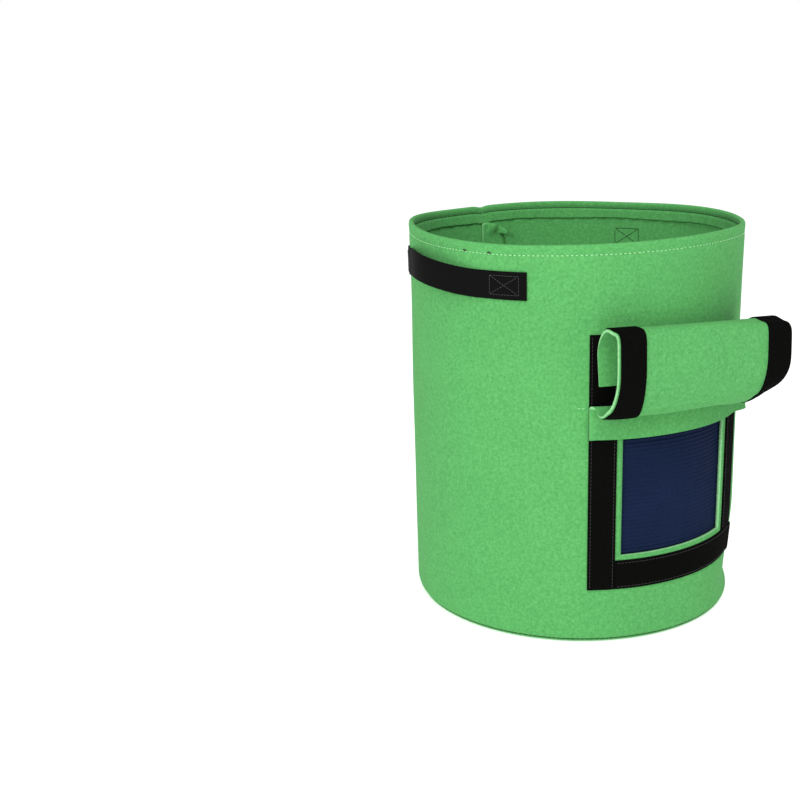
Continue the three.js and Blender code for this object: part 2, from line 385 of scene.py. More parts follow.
def tube_mesh(paths, radius, sides=6):
    """Round-ended threads along several short paths, as one list of points and faces."""
    points, faces = [], []
    for path in paths:
        path = np.asarray(path, float)
        tangent = np.gradient(path, axis=0)
        tangent /= np.linalg.norm(tangent, axis=1)[:, None] + 1e-12
        helper = np.array([0.0, 0.0, 1.0]) if abs(tangent[0][2]) < 0.9 else np.array([1.0, 0, 0])
        first = len(points)
        swell = np.sin(np.linspace(0.12, 0.88, len(path)) * math.pi) ** 0.4
        for centre, direction, share in zip(path, tangent, swell):
            across = np.cross(direction, helper)
            across /= np.linalg.norm(across) + 1e-12
            up = np.cross(across, direction)
            for k in range(sides):
                turn = TAU * k / sides
                points.append(centre + radius * share * (math.cos(turn) * across + math.sin(turn) * up))
        rings = len(path)
        for r in range(rings - 1):
            for k in range(sides):
                a = first + r * sides + k
                b = first + r * sides + (k + 1) % sides
                faces.append((a, b, b + sides, a + sides))
        faces.append(tuple(first + k for k in reversed(range(sides))))
        last = first + (rings - 1) * sides
        faces.append(tuple(last + k for k in range(sides)))
    return points, faces


def stitch_row(path, normals, pitch, length, radius, lift, jitter=0.0, seed=1):
    """Short raised stitches along a finely sampled path: a list of stitch paths."""
    path = np.asarray(path, float)
    normals = np.asarray(normals, float)
    steps = np.linalg.norm(np.diff(path, axis=0), axis=1)
    along = np.concatenate([[0], np.cumsum(steps)])
    draw = random.Random(seed)
    stitches = []
    count = int((along[-1] - length) / pitch) + 1
    for k in range(count):
        start = k * pitch + draw.uniform(-jitter, jitter)
        at = np.clip(np.linspace(start, start + length, 5), 0, along[-1])
        centre = np.stack([np.interp(at, along, path[:, axis]) for axis in range(3)], axis=1)
        normal = np.stack([np.interp(at, along, normals[:, axis]) for axis in range(3)], axis=1)
        arch = np.sin(np.linspace(0, math.pi, 5))[:, None]
        stitches.append(centre + normal * (lift * arch - 0.3 * radius))
    return stitches


def outward(angle):
    angle = np.asarray(angle, float)
    return np.stack([np.sin(angle), -np.cos(angle), np.zeros_like(angle)], axis=-1)


def bag_stitches(name, runs, material, pitch, length, radius, lift, jitter=0.0, inside=False):
    """Stitches along runs of (angles, heights, out) on the bag."""
    stitches = []
    for number, (angles, heights, out) in enumerate(runs):
        fine = 400
        share = np.linspace(0, 1, len(angles))
        dense = np.linspace(0, 1, fine)
        a = np.interp(dense, share, angles)
        h = np.interp(dense, share, heights)
        path = on_bag(a, h, out)
        side = -outward(a) if inside else outward(a)
        stitches += stitch_row(path, side, pitch, length, radius, lift, jitter, seed=number + 3)
    points, faces = tube_mesh(stitches, radius)
    return make_object(name, points, faces, [material])


def round_the_bag(height, out, start=0.0):
    """Two half-turn runs of stitches at one height."""
    full = np.linspace(0, TAU, 181)
    return [(part + start, part * 0 + height, out) for part in (full[:91], full[90:])]


def blend_with(thing):
    """Bakes a piece's transform into its mesh."""
    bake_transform(thing)


def belongs(thing, body, slot, *nodes):
    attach(thing, body)
    if nodes:
        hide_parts(*nodes)
    return thing


# ---------------------------------------------------------------- camera, light and floor
def aim_camera():
    data = bpy.data.cameras.new("camera")
    data.sensor_width = 36
    data.lens = CAMERA_LENS
    camera = bpy.data.objects.new("camera", data)
    bpy.context.scene.collection.objects.link(camera)
    place = Vector(CAMERA_PLACE)
    forward = Vector(CAMERA_FORWARD).normalized()
    level = forward.cross(Vector((0, 0, 1))).normalized()
    up = level.cross(forward)
    cosine, sine = math.cos(CAMERA_ROLL), math.sin(CAMERA_ROLL)
    right = cosine * level + sine * up
    top = -sine * level + cosine * up
    turn = Matrix((right, top, -forward)).transposed()
    camera.matrix_world = Matrix.Translation(place) @ turn.to_4x4()
    bpy.context.scene.camera = camera


def area_light(name, place, target, size, power):
    data = bpy.data.lights.new(name, "AREA")
    data.size = size
    data.energy = power
    light = bpy.data.objects.new(name, data)
    bpy.context.scene.collection.objects.link(light)
    place = Vector(place)
    light.location = place
    light.rotation_euler = (Vector(target) - place).to_track_quat("-Z", "Y").to_euler()


def studio():
    material, nodes, links, shader = new_material("studio_floor")
    cloud = object_noise(nodes, links, 3, 2)
    colour = ramp(nodes, links, cloud.outputs["Fac"], [(0.3, (0.93, 0.93, 0.93)), (0.7, (0.95, 0.95, 0.95))])
    links.new(colour.outputs["Color"], shader.inputs["Base Color"])
    shader.inputs["Roughness"].default_value = 1.0
    shader.inputs["Specular IOR Level"].default_value = 0.0
    shader.inputs["Emission Color"].default_value = (1, 1, 1, 1)
    shader.inputs["Emission Strength"].default_value = FLOOR_GLOW
    signs = [(-1, -1), (1, -1), (1, 1), (-1, 1)]
    corners = [(x * FLOOR_REACH, y * FLOOR_REACH, 0) for x, y in signs]
    floor = make_object("floor", corners, [(0, 1, 2, 3)], [material], smooth=False)
    world = bpy.data.worlds.new("studio")
    world.use_nodes = True
    nodes, links = world.node_tree.nodes, world.node_tree.links
    background = nodes["Background"]
    background.inputs["Color"].default_value = (1, 1, 1, 1)
    seen = nodes.new("ShaderNodeLightPath")
    strength = nodes.new("ShaderNodeMapRange")
    strength.inputs["To Min"].default_value = SKY_LIGHT
    strength.inputs["To Max"].default_value = 1.0
    links.new(seen.outputs["Is Camera Ray"], strength.inputs["Value"])
    links.new(strength.outputs["Result"], background.inputs["Strength"])
    bpy.context.scene.world = world
    area_light("key", KEY_PLACE, KEY_TARGET, KEY_SIZE, KEY_POWER)
    area_light("top", TOP_PLACE, TOP_TARGET, TOP_SIZE, TOP_POWER)
    bpy.context.scene.view_settings.view_transform = "Standard"


# ---------------------------------------------------------------- felt bag
SEAM_TURN = 0.86


def wall_profile():
    """The felt wall's section as (out, height) pairs: up the outside, over the folded rim, down
    the folded hem to its raw edge, and down the inside to the base seam."""
    steps = 24
    outside, inside = [], []
    turn = np.linspace(0, math.pi / 2, steps + 1)
    reach = BASE_ROUNDING
    seam_dip, seam_swell = 1.4 * MM, 0.6 * MM
    for t in turn:
        dip = seam_dip * math.exp(-((t - SEAM_TURN) / 0.09) ** 2)
        dip -= seam_swell * math.exp(-((t - 0.64) / 0.12) ** 2)
        outside.append(((reach - dip) * math.sin(t) - reach, reach - (reach - dip) * math.cos(t)))
        near = reach - FELT
        inside.append((near * math.sin(t) - reach, FELT + near * (1 - math.cos(t))))
    return outside, inside


def wall_heights():
    low = np.linspace(BASE_ROUNDING, WINDOW_BOTTOM, 14)[1:]
    middle = np.linspace(WINDOW_BOTTOM, WINDOW_TOP, 22)[1:]
    high = np.linspace(WINDOW_TOP, HEM_EDGE, 20)[1:]
    hem = np.linspace(HEM_EDGE, BAG_HEIGHT - FELT, 9)[1:]
    return np.concatenate([low, middle, high, hem])


WINDOW_CELLS = 37


def wall_angles():
    window = np.linspace(-WINDOW_ANGLE, WINDOW_ANGLE, WINDOW_CELLS + 1)[:-1]
    side = np.linspace(WINDOW_ANGLE, TAU - WINDOW_ANGLE, 260)[:-1]
    return np.concatenate([window, side])


def hem_pinch(height):
    """The rim's stitch line draws the felt in a little."""
    line = BAG_HEIGHT - RIM_STITCH_DROP
    return -0.55 * MM * np.exp(-((height - line) / (1.6 * MM)) ** 2)


def felt_wall():
    outside, inside = wall_profile()
    angles = wall_angles()
    heights = wall_heights()
    corner = len(outside)
    outer_profile = outside + [(hem_pinch(h), h) for h in heights]
    inner_profile = inside + [(-FELT, h) for h in heights]
    arch = np.linspace(0, math.pi, 9)[1:-1]
    fold = RIM_FOLD
    crown = [(-fold + fold * math.cos(t), BAG_HEIGHT - fold + fold * math.sin(t)) for t in arch]
    outer_profile += crown[:4]
    inner_profile += [(-FELT - 0.02 * MM, BAG_HEIGHT - FELT + 0.1 * MM * k) for k in range(1, 5)]
    outer = np.array([on_bag(angles, h, out) for out, h in outer_profile]).transpose(1, 0, 2)
    inner = np.array([on_bag(angles, h, out) for out, h in inner_profile]).transpose(1, 0, 2)
    columns = len(outer_profile)
    mask = np.ones((len(angles), columns - 1), bool)
    first = corner + int(np.searchsorted(heights, WINDOW_BOTTOM - 1e-6))
    last = corner + int(np.searchsorted(heights, WINDOW_TOP - 1e-6))
    mask[:WINDOW_CELLS, first:last] = False
    wall, _ = thick_sheet("felt_wall", outer, inner, [FELT_GREEN, CUT_EDGE_HIGHLIGHT], mask, wrap=True)
    belongs(wall, "bag", "felt", "side_wall")


def rim_hem():
    """The folded-in hem, from the top of the rim down to its raw edge, puckered along its seam."""
    angles = np.linspace(0, TAU, 361)[:-1]
    fold = RIM_FOLD
    profile_out, profile_in = [], []
    for t in np.linspace(math.pi * 0.5, math.pi, 6):
        profile_out.append((-fold + fold * math.cos(t), BAG_HEIGHT - fold + fold * math.sin(t)))
        profile_in.append((-FELT - 0.15 * MM, BAG_HEIGHT - FELT + 0.6 * MM * math.sin(t)))
    stitch = BAG_HEIGHT - HEM_STITCH_DROP
    for h in np.linspace(BAG_HEIGHT - FELT, HEM_EDGE, 16)[1:]:
        pinch = 0.9 * MM * math.exp(-((h - stitch) / (1.3 * MM)) ** 2)
        profile_out.append((-2 * fold + pinch, h))
        profile_in.append((-FELT - 0.15 * MM, h))
    face, back = [], []
    for (out, h), (near, g) in zip(profile_out, profile_in):
        below = np.clip((stitch - h) / (stitch - HEM_EDGE), 0, 1)
        pucker = 0.35 * MM * np.sin(46 * angles + 3 * np.sin(3 * angles)) * below
        pucker += 0.25 * MM * np.sin(83 * angles + 2 * np.sin(5 * angles)) * below
        edge = 0.5 * MM * np.sin(9 * angles + 1) * below
        face.append(on_bag(angles, h + edge, out + pucker))
        back.append(on_bag(angles, g + edge, near))
    face = np.array(face).transpose(1, 0, 2)
    back = np.array(back).transpose(1, 0, 2)
    hem, _ = thick_sheet("rim_hem_fold", face, back, [FELT_GREEN, CUT_EDGE_HIGHLIGHT], wrap=True)
    belongs(hem, "bag", "felt", "rim_hem")


def curved_felt(name, angle_from, angle_to, low, high, near, far, materials, shape=None, cells=(60, 14)):
    """A felt or tape sheet on the bag between two angles, heights and distances out. shape may
    bend it: it gives (shift out, shift up) for arrays of angle and height shares."""
    u = np.linspace(0, 1, cells[0] + 1)[:, None]
    v = np.linspace(0, 1, cells[1] + 1)[None, :]
    angle = angle_from + (angle_to - angle_from) * u + 0 * v
    height = low + (high - low) * v + 0 * u
    shift, lift = shape(u + 0 * v, v + 0 * u) if shape else (0, 0)
    outer = on_bag(angle, height + lift, far + shift)
    inner = on_bag(angle, height + lift, near + shift)
    sheet, _ = thick_sheet(name, outer, inner, materials)
    return sheet


def base():
    """The base disc, slightly sagged, with its sewn allowance standing inside the wall."""
    rings, spokes = 26, 144
    reach = BAG_RADIUS - BASE_ROUNDING - 0.3 * MM
    angles = np.linspace(0, TAU, spokes, endpoint=False)
    top_rows, low_rows = [], []
    for r in np.linspace(0, 1, rings)[1:]:
        radius = reach * r
        crease = 0.4 * MM * np.sin(3 * angles + 8 * r) * r * (1 - r) * 4
        top_rows.append(np.stack([radius * np.sin(angles), -radius * np.cos(angles),
                                  FELT + crease + 0 * angles], axis=-1))
        low_rows.append(np.stack([radius * np.sin(angles), -radius * np.cos(angles), 0 * angles], axis=-1))
    points = [(0, 0, FELT)] + [tuple(p) for row in top_rows for p in row]
    low_start = len(points)
    points += [(0, 0, 0)] + [tuple(p) for row in low_rows for p in row]
    faces, slots = [], []
    for k in range(spokes):
        n = (k + 1) % spokes
        faces += [(0, 1 + k, 1 + n), (low_start, low_start + 1 + n, low_start + 1 + k)]
        slots += [0, 0]
        for r in range(rings - 2):
            a, b = 1 + r * spokes + k, 1 + r * spokes + n
            c, d = a + spokes, b + spokes
            faces.append((a, c, d, b))
            e = low_start
            faces.append((e + a, e + b, e + d, e + c))
            slots += [0, 0]
        a, b = 1 + (rings - 2) * spokes + k, 1 + (rings - 2) * spokes + n
        faces.append((a, low_start + a, low_start + b, b))
        slots.append(1)
    disc = make_object("felt_base", points, faces, [FELT_GREEN, CUT_EDGE_HIGHLIGHT], slots)
    sharpen(disc)
    belongs(disc, "bag", "felt", "base_disc")

    low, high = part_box("base_seam_allowance")
    ring_angles = np.linspace(0, TAU, 240, endpoint=False)
    face, back = [], []
    for share in np.linspace(0, 1, 7):
        ripple = 0.5 * MM * np.sin(31 * ring_angles + 2 * np.sin(4 * ring_angles)) * share
        out = -BASE_ROUNDING - 0.4 * MM - BASE_ALLOWANCE * share
        radius = BAG_RADIUS + out
        top = high.z - 0.3 * MM + np.abs(ripple)
        face.append(np.stack([radius * np.sin(ring_angles), -radius * np.cos(ring_angles), top], axis=-1))
        back.append(np.stack([radius * np.sin(ring_angles), -radius * np.cos(ring_angles),
                              0 * ring_angles + low.z + 0.2 * MM], axis=-1))
    face = np.array(face[::-1]).transpose(1, 0, 2)
    back = np.array(back[::-1]).transpose(1, 0, 2)
    allowance, _ = thick_sheet("base_allowance", face, back, [FELT_GREEN, CUT_EDGE_HIGHLIGHT], wrap=True)
    belongs(allowance, "bag", "felt", "base_seam_allowance")


def side_seam():
    """The lapped allowance inside the back, with a crumpled corner showing below the hem."""
    start = SIDE_SEAM_ANGLE - SEAM_BAND_ANGLE
    low = BASE_ROUNDING + 0.3 * MM
    top = HEM_EDGE - 0.6 * MM

    def lie(u, v):
        loose = smooth_step((0.6 - u) / 0.5)
        crumple = smooth_step((v - 0.955) / 0.03)
        wave = 0.5 + 0.5 * np.sin(11 * u + 40 * v)
        shift = -0.5 * MM * loose * np.sin(17 * v) ** 2 - crumple * MM * (1.5 + 6.0 * wave) * (1 - u)
        lift = -crumple * 8 * MM * (1 - u) ** 2 + 3 * MM * crumple * u * (1 - u)
        return shift, lift

    band = curved_felt("side_seam_band", start, SIDE_SEAM_ANGLE - 0.002, low, top,
                       -FELT - 2.8 * MM, -FELT - 0.3 * MM, [FELT_GREEN, CUT_EDGE_HIGHLIGHT], lie, (18, 120))
    belongs(band, "bag", "felt", "side_seam_allowance")


def window_panel():
    """The ribbed navy sheet behind the opening."""
    angle = WINDOW_ANGLE + PANEL_MARGIN / LINING_RADIUS

    def ribs(u, v):
        height = v * (PANEL_HIGH.z - PANEL_LOW.z)
        return 0.42 * MM * np.cos(TAU * height / PANEL_PITCH) - 0.42 * MM, 0.3 * MM * np.sin(7 * u)

    rows = int((PANEL_HIGH.z - PANEL_LOW.z) / PANEL_PITCH * 8)
    panel = curved_felt("ribbed_panel", -angle, angle, PANEL_LOW.z, PANEL_HIGH.z,
                        -FELT - 2.4 * MM, -FELT - 0.4 * MM, [PANEL_NAVY], ribs, (48, rows))
    belongs(panel, "bag", "panel", "window_panel")


def loop_tapes():
    """The three loop tapes round the window, a little uneven, as they are sewn."""
    inner_left = -FRAME_ANGLE + TAPE_ANGLE
    near, far = TAPE_LIFT, TAPE_LIFT + TAPE_THICK

    def soft_edge(u, v):
        return -0.25 * MM * (np.abs(2 * v - 1) ** 8 + np.abs(2 * u - 1) ** 8), 0

    left = curved_felt("loop_tape_left_strip", -FRAME_ANGLE, inner_left, LOOP_LOW.z, LOOP_HIGH.z,
                       near, far, [TAPE_BLACK], soft_edge, (16, 90))
    right = curved_felt("loop_tape_right_strip", FRAME_ANGLE - TAPE_ANGLE, FRAME_ANGLE,
                        RIGHT_LOW.z, RIGHT_HIGH.z, near, far, [TAPE_BLACK], soft_edge, (16, 90))

    def kick(u, v):
        tip = smooth_step((u - 0.93) / 0.07)
        shift, _ = soft_edge(u, v)
        return shift + 1.2 * MM * tip, 0

    bottom = curved_felt("loop_tape_bottom_strip", inner_left + 0.15 * MM / BAG_RADIUS, OVERRUN_ANGLE,
                         BOTTOM_LOW.z, BOTTOM_HIGH.z, near, far, [TAPE_BLACK], kick, (80, 16))
    for tape, node, size in (
        (left, "loop_tape_left", (TAPE_WIDTH, LOOP_HIGH.z - LOOP_LOW.z)),
        (right, "loop_tape_right", (TAPE_WIDTH, RIGHT_HIGH.z - RIGHT_LOW.z)),
        (bottom, "loop_tape_bottom",
         ((OVERRUN_ANGLE - inner_left) * BAG_RADIUS, BOTTOM_HIGH.z - BOTTOM_LOW.z)),
    ):
        belongs(tape, "bag", "tape", node)


# ---------------------------------------------------------------- flap
JOINTS = {joint["name"]: joint for joint in frame["joints"]}
ROW_JOINTS = ["flap_unroll"] + [f"flap_fold_{k}" for k in range(2, 7)]
SEAM_POINT = np.array(JOINTS["flap_unroll"]["pos_m"])
HINGE_AXIS = np.array(JOINTS["flap_unroll"]["axis"]) / np.linalg.norm(JOINTS["flap_unroll"]["axis"])
OUT_AXIS = np.array([HINGE_AXIS[1], -HINGE_AXIS[0], 0.0])
RATIOS = {c["joint"]: c["ratio"] for c in frame["record"]["behaviour"]["couplings"]}
UNROLL = math.radians(JOINTS["flap_unroll"]["range_deg"][1])
TURNS = [UNROLL * RATIOS.get(name, 1.0) for name in ROW_JOINTS]
HINGES = [np.array(JOINTS[name]["pos_m"]) for name in ROW_JOINTS]
ROW_LENGTHS = [float(np.linalg.norm(b - a)) for a, b in zip(HINGES, HINGES[1:])] + [FLAP_END_ROW]
HINGE_AT = np.concatenate([[0], np.cumsum(ROW_LENGTHS)])
FLAP_RADIUS = float(SEAM_POINT @ OUT_AXIS)
FLAP_YAW = math.atan2(-HINGE_AXIS[1], HINGE_AXIS[0])
FLAP_OFFSET = FLAP_RADIUS * math.tan(FLAP_YAW)
FLAP_HALF = 87 * MM
FLAP_LENGTH = float(HINGE_AT[-1])
HOOK_THICK = 1.2 * MM
SEAM_FOLD = 1.85 * MM
ALLOWANCE = SEAM_HEIGHT - STRIP_LOW.z
ALLOWANCE_SPREAD = FRAME_ANGLE * FLAP_RADIUS / FLAP_HALF
# How far the rolled flap's ends draw in below its face, as a share of the way.
TUCK_LEFT, TUCK_RIGHT = 0.55, 0.50
TUCK_LENGTH = 56 * MM
TUCK_CURVE = 22 * MM
# The closed flap leaves the bag's curve just below its seam and comes back to it lower down.
HUG_TOP = 12 * MM
HUG_FROM, HUG_OVER = 97 * MM, 33 * MM
# The roll sinks with its height above the seam, more towards its right end.
ROLL_TILT = (-0.040, 0.026, -0.175)
# How far the rolled flap's curve reaches above and below each hinge.
CURVE_REACH = [(0, 7 * MM), (7 * MM, 13 * MM), (16 * MM, 22 * MM), (10 * MM, 3.9 * MM), (5 * MM, 5 * MM),
               (5 * MM, 12 * MM)]
# One strip of the flap bends across each hinge; neighbours meet inside a row, which stays flat.
STRIP_EDGES = [-math.pi * SEAM_FOLD - ALLOWANCE, 7 * MM, 30 * MM, 68.5 * MM, 94.9 * MM, 105 * MM, FLAP_LENGTH]


def turn_about(points, pivot, angle):
    """Points turned about a hinge line through pivot; angle may differ from point to point."""
    arm = points - pivot
    cosine = np.cos(angle)[..., None]
    sine = np.sin(angle)[..., None]
    along = (arm @ HINGE_AXIS)[..., None] * HINGE_AXIS
    return pivot + arm * cosine + np.cross(HINGE_AXIS, arm) * sine + along * (1 - cosine)


def closed_hinge(number):
    return SEAM_POINT - np.array([0, 0, HINGE_AT[number]])


def allowance_flare(share, below):
    """How far the hanging allowance stands off the wall: most at its right end."""
    right = smooth_step((share - 0.9) / 0.1)
    left = smooth_step((0.04 - share) / 0.04)
    ripple = 0.5 * MM * np.sin(9 * share + 1)
    return (7 * MM * right + 1.0 * MM * left) * (0.45 + 0.55 * below) + ripple * below


def closed_flap(across, down, depth, out, height):
    """Points of the closed flap: across its width and down from the seam, depth outside its
    middle, which stands out from its flat place and at a height. It hugs the bag at its seam and
    its free end and spans straight between them. Above its seam it turns over, and then it hangs
    behind itself as the seam's allowance."""
    hug = 1 - smooth_step(down / HUG_TOP) * (1 - smooth_step((down - HUG_FROM) / HUG_OVER))
    over = np.clip(-down / SEAM_FOLD, 0, math.pi)
    turned = smooth_step(over / math.pi)
    hanging = np.maximum(-down - math.pi * SEAM_FOLD, 0)
    below = np.clip(hanging / ALLOWANCE, 0, 1)
    share = 0.5 + 0.5 * across / FLAP_HALF
    beta = FLAP_YAW + across / FLAP_RADIUS * (1 + (ALLOWANCE_SPREAD - 1) * turned)
    lean = (SEAM_FOLD + depth) * np.cos(over) - SEAM_FOLD + turned * allowance_flare(share, below) + out
    rise = (SEAM_FOLD + depth) * np.sin(over)
    normal_u = hug * np.sin(beta)
    normal_d = hug * np.cos(beta) + (1 - hug)
    size = np.hypot(normal_u, normal_d)
    u = hug * FLAP_RADIUS * np.sin(beta) + (1 - hug) * (FLAP_OFFSET + across) + lean * normal_u / size
    d = hug * FLAP_RADIUS * np.cos(beta) + (1 - hug) * FLAP_RADIUS + lean * normal_d / size
    height = height + rise - hanging * (1 + 0.03 * np.sin(3 * share))
    return u[..., None] * HINGE_AXIS + d[..., None] * OUT_AXIS + height[..., None] * np.array([0, 0, 1.0])


def plane_turn(points, pivot, angle):
    """Turns points of the flap's section, out from the axis and up, about a hinge."""
    arm = points - pivot
    cosine, sine = np.cos(angle), np.sin(angle)
    turned = [arm[:, 0] * cosine - arm[:, 1] * sine, arm[:, 0] * sine + arm[:, 1] * cosine]
    return pivot + np.stack(turned, axis=1)


def section(number, down):
    """One strip of the flap's section, closed: (out, height, weight) for distances down it. Rolled
    up, it follows a curve between the row above its hinge and the row below, and its weight is
    the share of the fold that the curve has turned, so closed it lies almost flat."""
    if number == 0:
        return 0 * down, SEAM_POINT[2] - np.maximum(down, 0), smooth_step(down / STRIP_EDGES[1])
    before, after = CURVE_REACH[number]
    down = np.asarray(down, float)
    turned = sum(TURNS[:number])
    start = np.array([math.sin(turned), -math.cos(turned)])
    end = np.array([math.sin(turned + TURNS[number]), -math.cos(turned + TURNS[number])])
    hinge = np.array([HINGES[number] @ OUT_AXIS, HINGES[number][2]])
    past = down - HINGE_AT[number]
    t = np.linspace(0, 1, 200)[:, None]
    curve = -before * (1 - t) ** 2 * start + after * t ** 2 * end
    length = np.concatenate([[0], np.cumsum(np.linalg.norm(np.diff(curve, axis=0), axis=1))])
    share = np.interp((past + before) / (before + after) * length[-1], length, t[:, 0])[:, None]
    bent = -before * (1 - share) ** 2 * start + after * share ** 2 * end
    heading = before * (1 - share) * start + after * share * end
    weight = np.arctan2(start[0] * heading[:, 1] - start[1] * heading[:, 0], heading @ start) / TURNS[number]
    bent = np.where((past < -before)[:, None], past[:, None] * start, bent)
    bent = hinge + np.where((past > after)[:, None], past[:, None] * end, bent)
    for above in range(number):
        bent = plane_turn(bent, np.array([FLAP_RADIUS, SEAM_POINT[2] - HINGE_AT[above]]), -TURNS[above])
    here = np.array([FLAP_RADIUS, SEAM_POINT[2] - HINGE_AT[number]])
    flat = plane_turn(bent, here, -weight * TURNS[number])
    return flat[:, 0] - FLAP_RADIUS, flat[:, 1], weight


def roll_up(points, number, weight):
    """Moves points of one strip from the closed flap to where they lie rolled up."""
    moved = turn_about(points, closed_hinge(number), -weight * TURNS[number])
    for above in range(number - 1, -1, -1):
        moved = turn_about(moved, closed_hinge(above), np.full(moved.shape[:-1], -TURNS[above]))
    return moved


def rolled(number, across, down, depth):
    """Points of one strip of the flap where it lies rolled up, before its own sag, and weights."""
    out, height, weight = section(number, down[0])
    across, down, depth, out, height, weight = np.broadcast_arrays(across, down, depth, out, height, weight)
    return roll_up(closed_flap(across, down, depth, out, height), number, weight), weight


def tuck(number, across, down):
    """How far the flap's ends draw in at the seam, towards one easy curve up to its face."""
    if number > 2:
        return 0.0
    side = np.clip((np.abs(across) / FLAP_HALF - 0.25) / 0.75, 0, 1) ** 1.7
    side = side * np.where(across > 0, TUCK_RIGHT, TUCK_LEFT)
    start, _ = rolled(0, across, np.zeros((1, 1)), 0.0)
    end, _ = rolled(2, across, np.full((1, 1), TUCK_LENGTH), 0.0)
    beyond, _ = rolled(2, across, np.full((1, 1), TUCK_LENGTH + MM), 0.0)
    control = end - (beyond - end) * TUCK_CURVE / MM
    middle, _ = rolled(number, across, down, 0.0)
    share = np.clip(down / TUCK_LENGTH, 0, 1)[..., None]
    curve = start * (1 - share) ** 2 + control * 2 * share * (1 - share) + end * share ** 2
    held = np.where((down > 0) & (down < TUCK_LENGTH), 1.0, 0.0)
    return (held * side)[..., None] * (curve - middle)


def flap_grid(number, across, down, depth):
    points, weight = rolled(number, across, down, depth)
    points = points + tuck(number, across, down)
    share = 0.5 + 0.5 * across / FLAP_HALF
    above = np.maximum(points[..., 2] - SEAM_POINT[2], 0)
    points[..., 2] += above * (ROLL_TILT[0] + ROLL_TILT[1] * share + ROLL_TILT[2] * share ** 2)
    return points, weight


def flap_sheet(name, number, across_from, across_to, down_from, down_to, near, far, materials, cells):
    a = np.linspace(across_from, across_to, cells[0] + 1)[:, None]
    s = np.linspace(down_from, down_to, cells[1] + 1)[None, ::-1]
    a, s = np.broadcast_arrays(a, s)
    outer, weight = flap_grid(number, a, s, far)
    inner, _ = flap_grid(number, a, s, near)
    thing, used = thick_sheet(name, outer, inner, materials)
    sharpen(thing)
    blend_with(thing)
    return thing


def flap():
    half = STRIP_FELT / 2
    inset = 1.3 * MM
    hook_near = -half - 0.15 * MM - HOOK_THICK
    hook_far = -half - 0.15 * MM
    for number in range(6):
        start, end = STRIP_EDGES[number], STRIP_EDGES[number + 1]
        steps = max(10, int((end - start) / ((0.7 if number == 0 else 1.5) * MM)))
        row = number + 1
        felt = flap_sheet(f"flap_felt_{row}", number, -FLAP_HALF, FLAP_HALF, start, end,
                          -half, half, [FELT_GREEN, CUT_EDGE_HIGHLIGHT], (70, steps))
        last = end - inset if number == 5 else end
        outer_edge = FLAP_HALF - inset
        for side, edges in (("left", (-outer_edge, TAPE_WIDTH - outer_edge)),
                            ("right", (outer_edge - TAPE_WIDTH, outer_edge))):
            tape = flap_sheet(f"hook_{side}_{row}", number, *edges, max(start, 0.6 * MM), last,
                              hook_near, hook_far, [TAPE_BLACK], (12, steps))
            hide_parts(f"hook_tape_{side}_{row}")
        if number == 5:
            span = outer_edge - TAPE_WIDTH - 0.2 * MM
            end_tape = flap_sheet("hook_end", number, -span, span, last - TAPE_WIDTH, last,
                                  hook_near, hook_far, [TAPE_BLACK], (60, 14))
            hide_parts("hook_tape_end")
        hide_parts(f"flap_row_{row}", *(["flap_seam_allowance"] if number == 0 else []))


# ---------------------------------------------------------------- handles
def strap_bow(turn):
    """How far the free span stands off the bag, at an angle from the handle's centre."""
    share = np.clip(np.abs(turn) / HANDLE_SPAN_ANGLE, 0, 1)
    return HANDLE_SLACK * np.cos(0.5 * math.pi * share) ** 2


def handle(side, centre):
    """One strap: its span bows off the bag and lifts, and its ends stay sewn to the wall."""
    sign = 1 if centre > 0 else -1
    low, high = STRAP_LOW.z, STRAP_HIGH.z
    turns = np.linspace(-HANDLE_ANGLE, HANDLE_ANGLE, 131)[:, None]
    ups = np.linspace(0, 1, 13)[None, :]
    turns, ups = np.broadcast_arrays(turns, ups)
    behind = sign * turns - RISE_BEHIND
    rise = HANDLE_RISE * np.cos(0.5 * math.pi * np.clip(behind / RISE_REACH, -1, 1)) ** 2
    crown = 0.35 * MM * (1 - (2 * ups - 1) ** 4)
    heights = low + (high - low) * ups + rise
    bow = strap_bow(turns)
    outer = on_bag(centre + turns, heights, SEWN_GAP + WEBBING_THICK - 0.35 * MM + crown + bow)
    inner = on_bag(centre + turns, heights, SEWN_GAP + bow)
    strap, used = thick_sheet(f"handle_{side}_webbing", outer, inner, [WEBBING_BLACK])
    sharpen(strap)
    blend_with(strap)
    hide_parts(f"handle_{side}_strap", f"handle_{side}_front_end", f"handle_{side}_back_end")
    out = SEWN_GAP + WEBBING_THICK
    box_low, box_high = low + BOX_ABOVE, high - BOX_BELOW
    runs, inner_runs = [], []
    for end in (-1, 1):
        a = centre + end * BOX_FROM
        b = centre + end * BOX_TO
        corners = [(a, box_low), (b, box_low), (b, box_high), (a, box_high), (a, box_low), (b, box_high)]
        cross = [(a, box_high), (b, box_low)]
        for path, shift, target in ((corners, out, runs), (cross, out, runs),
                                    (corners, -FELT, inner_runs), (cross, -FELT, inner_runs)):
            for (a0, h0), (a1, h1) in zip(path, path[1:]):
                target.append(((a0, a1), (h0, h1), shift))
    box = bag_stitches(f"handle_{side}_box_stitches", runs, GREY_THREAD,
                       2.6 * MM, 2.1 * MM, 0.33 * MM, 0.25 * MM)
    belongs(box, "bag", "thread")
    lining = bag_stitches(f"handle_{side}_inside_stitches", inner_runs, DARK_THREAD,
                          2.4 * MM, 2.3 * MM, 0.42 * MM, 0.2 * MM, inside=True)
    belongs(lining, "bag", "thread")


